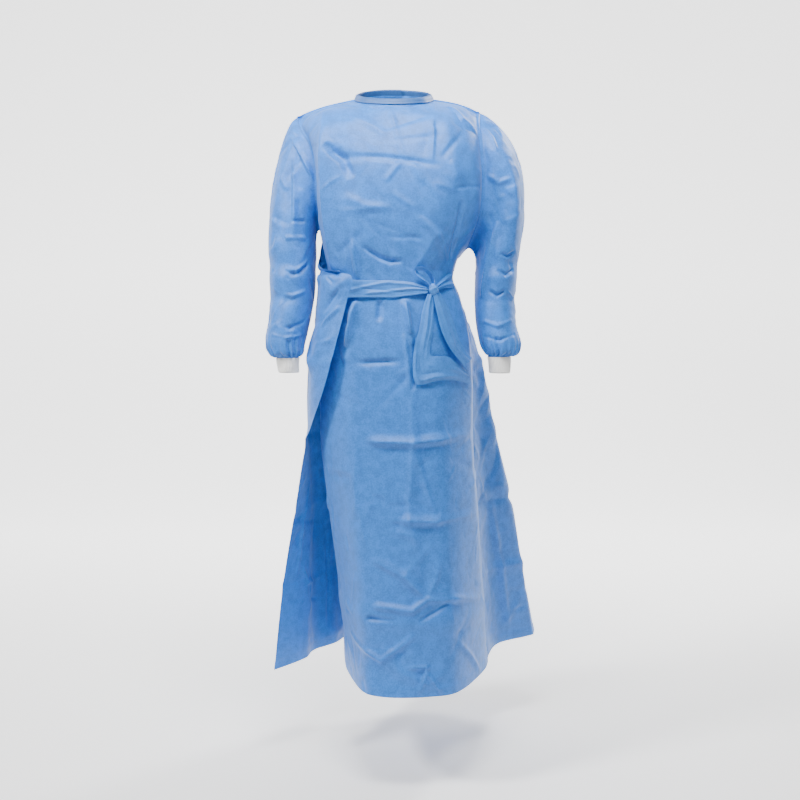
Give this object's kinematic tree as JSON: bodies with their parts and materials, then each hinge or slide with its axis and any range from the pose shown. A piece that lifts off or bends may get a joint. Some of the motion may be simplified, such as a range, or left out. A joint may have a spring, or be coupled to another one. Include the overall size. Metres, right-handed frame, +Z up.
{
  "type": "surgical gown",
  "caption": "Long-sleeved wrap-around surgical gown of blue nonwoven cloth in its worn, hollow shape, with knitted cuffs and its belt tied in a bow at the front.",
  "frame": {"origin": "centre of the neck opening, level with the sides of the neck edge, where the wearer holds the gown up", "axes": "+Z up towards the neck, -Y the front of the gown, +X the wearer's left"},
  "size_m": [0.6057, 0.5278, 1.2438],
  "materials": {
    "nonwoven_cloth": "matte",
    "binding_cloth": "matte",
    "strap_cloth": "matte",
    "white_knit": "matte"
  },
  "bodies": {
    "root": {"front_panel": "nonwoven_cloth", "back_left": "nonwoven_cloth", "back_right": "nonwoven_cloth", "sleeve_right": "nonwoven_cloth", "sleeve_left": "nonwoven_cloth", "cuff_right": "white_knit", "cuff_left": "white_knit", "neck_binding": "binding_cloth", "belt_front": "strap_cloth", "tie_side": "strap_cloth", "belt_knot": "strap_cloth", "belt_loop": "strap_cloth", "belt_tail_long": "strap_cloth", "belt_tail_short": "strap_cloth"}
  },
  "joints": []
}
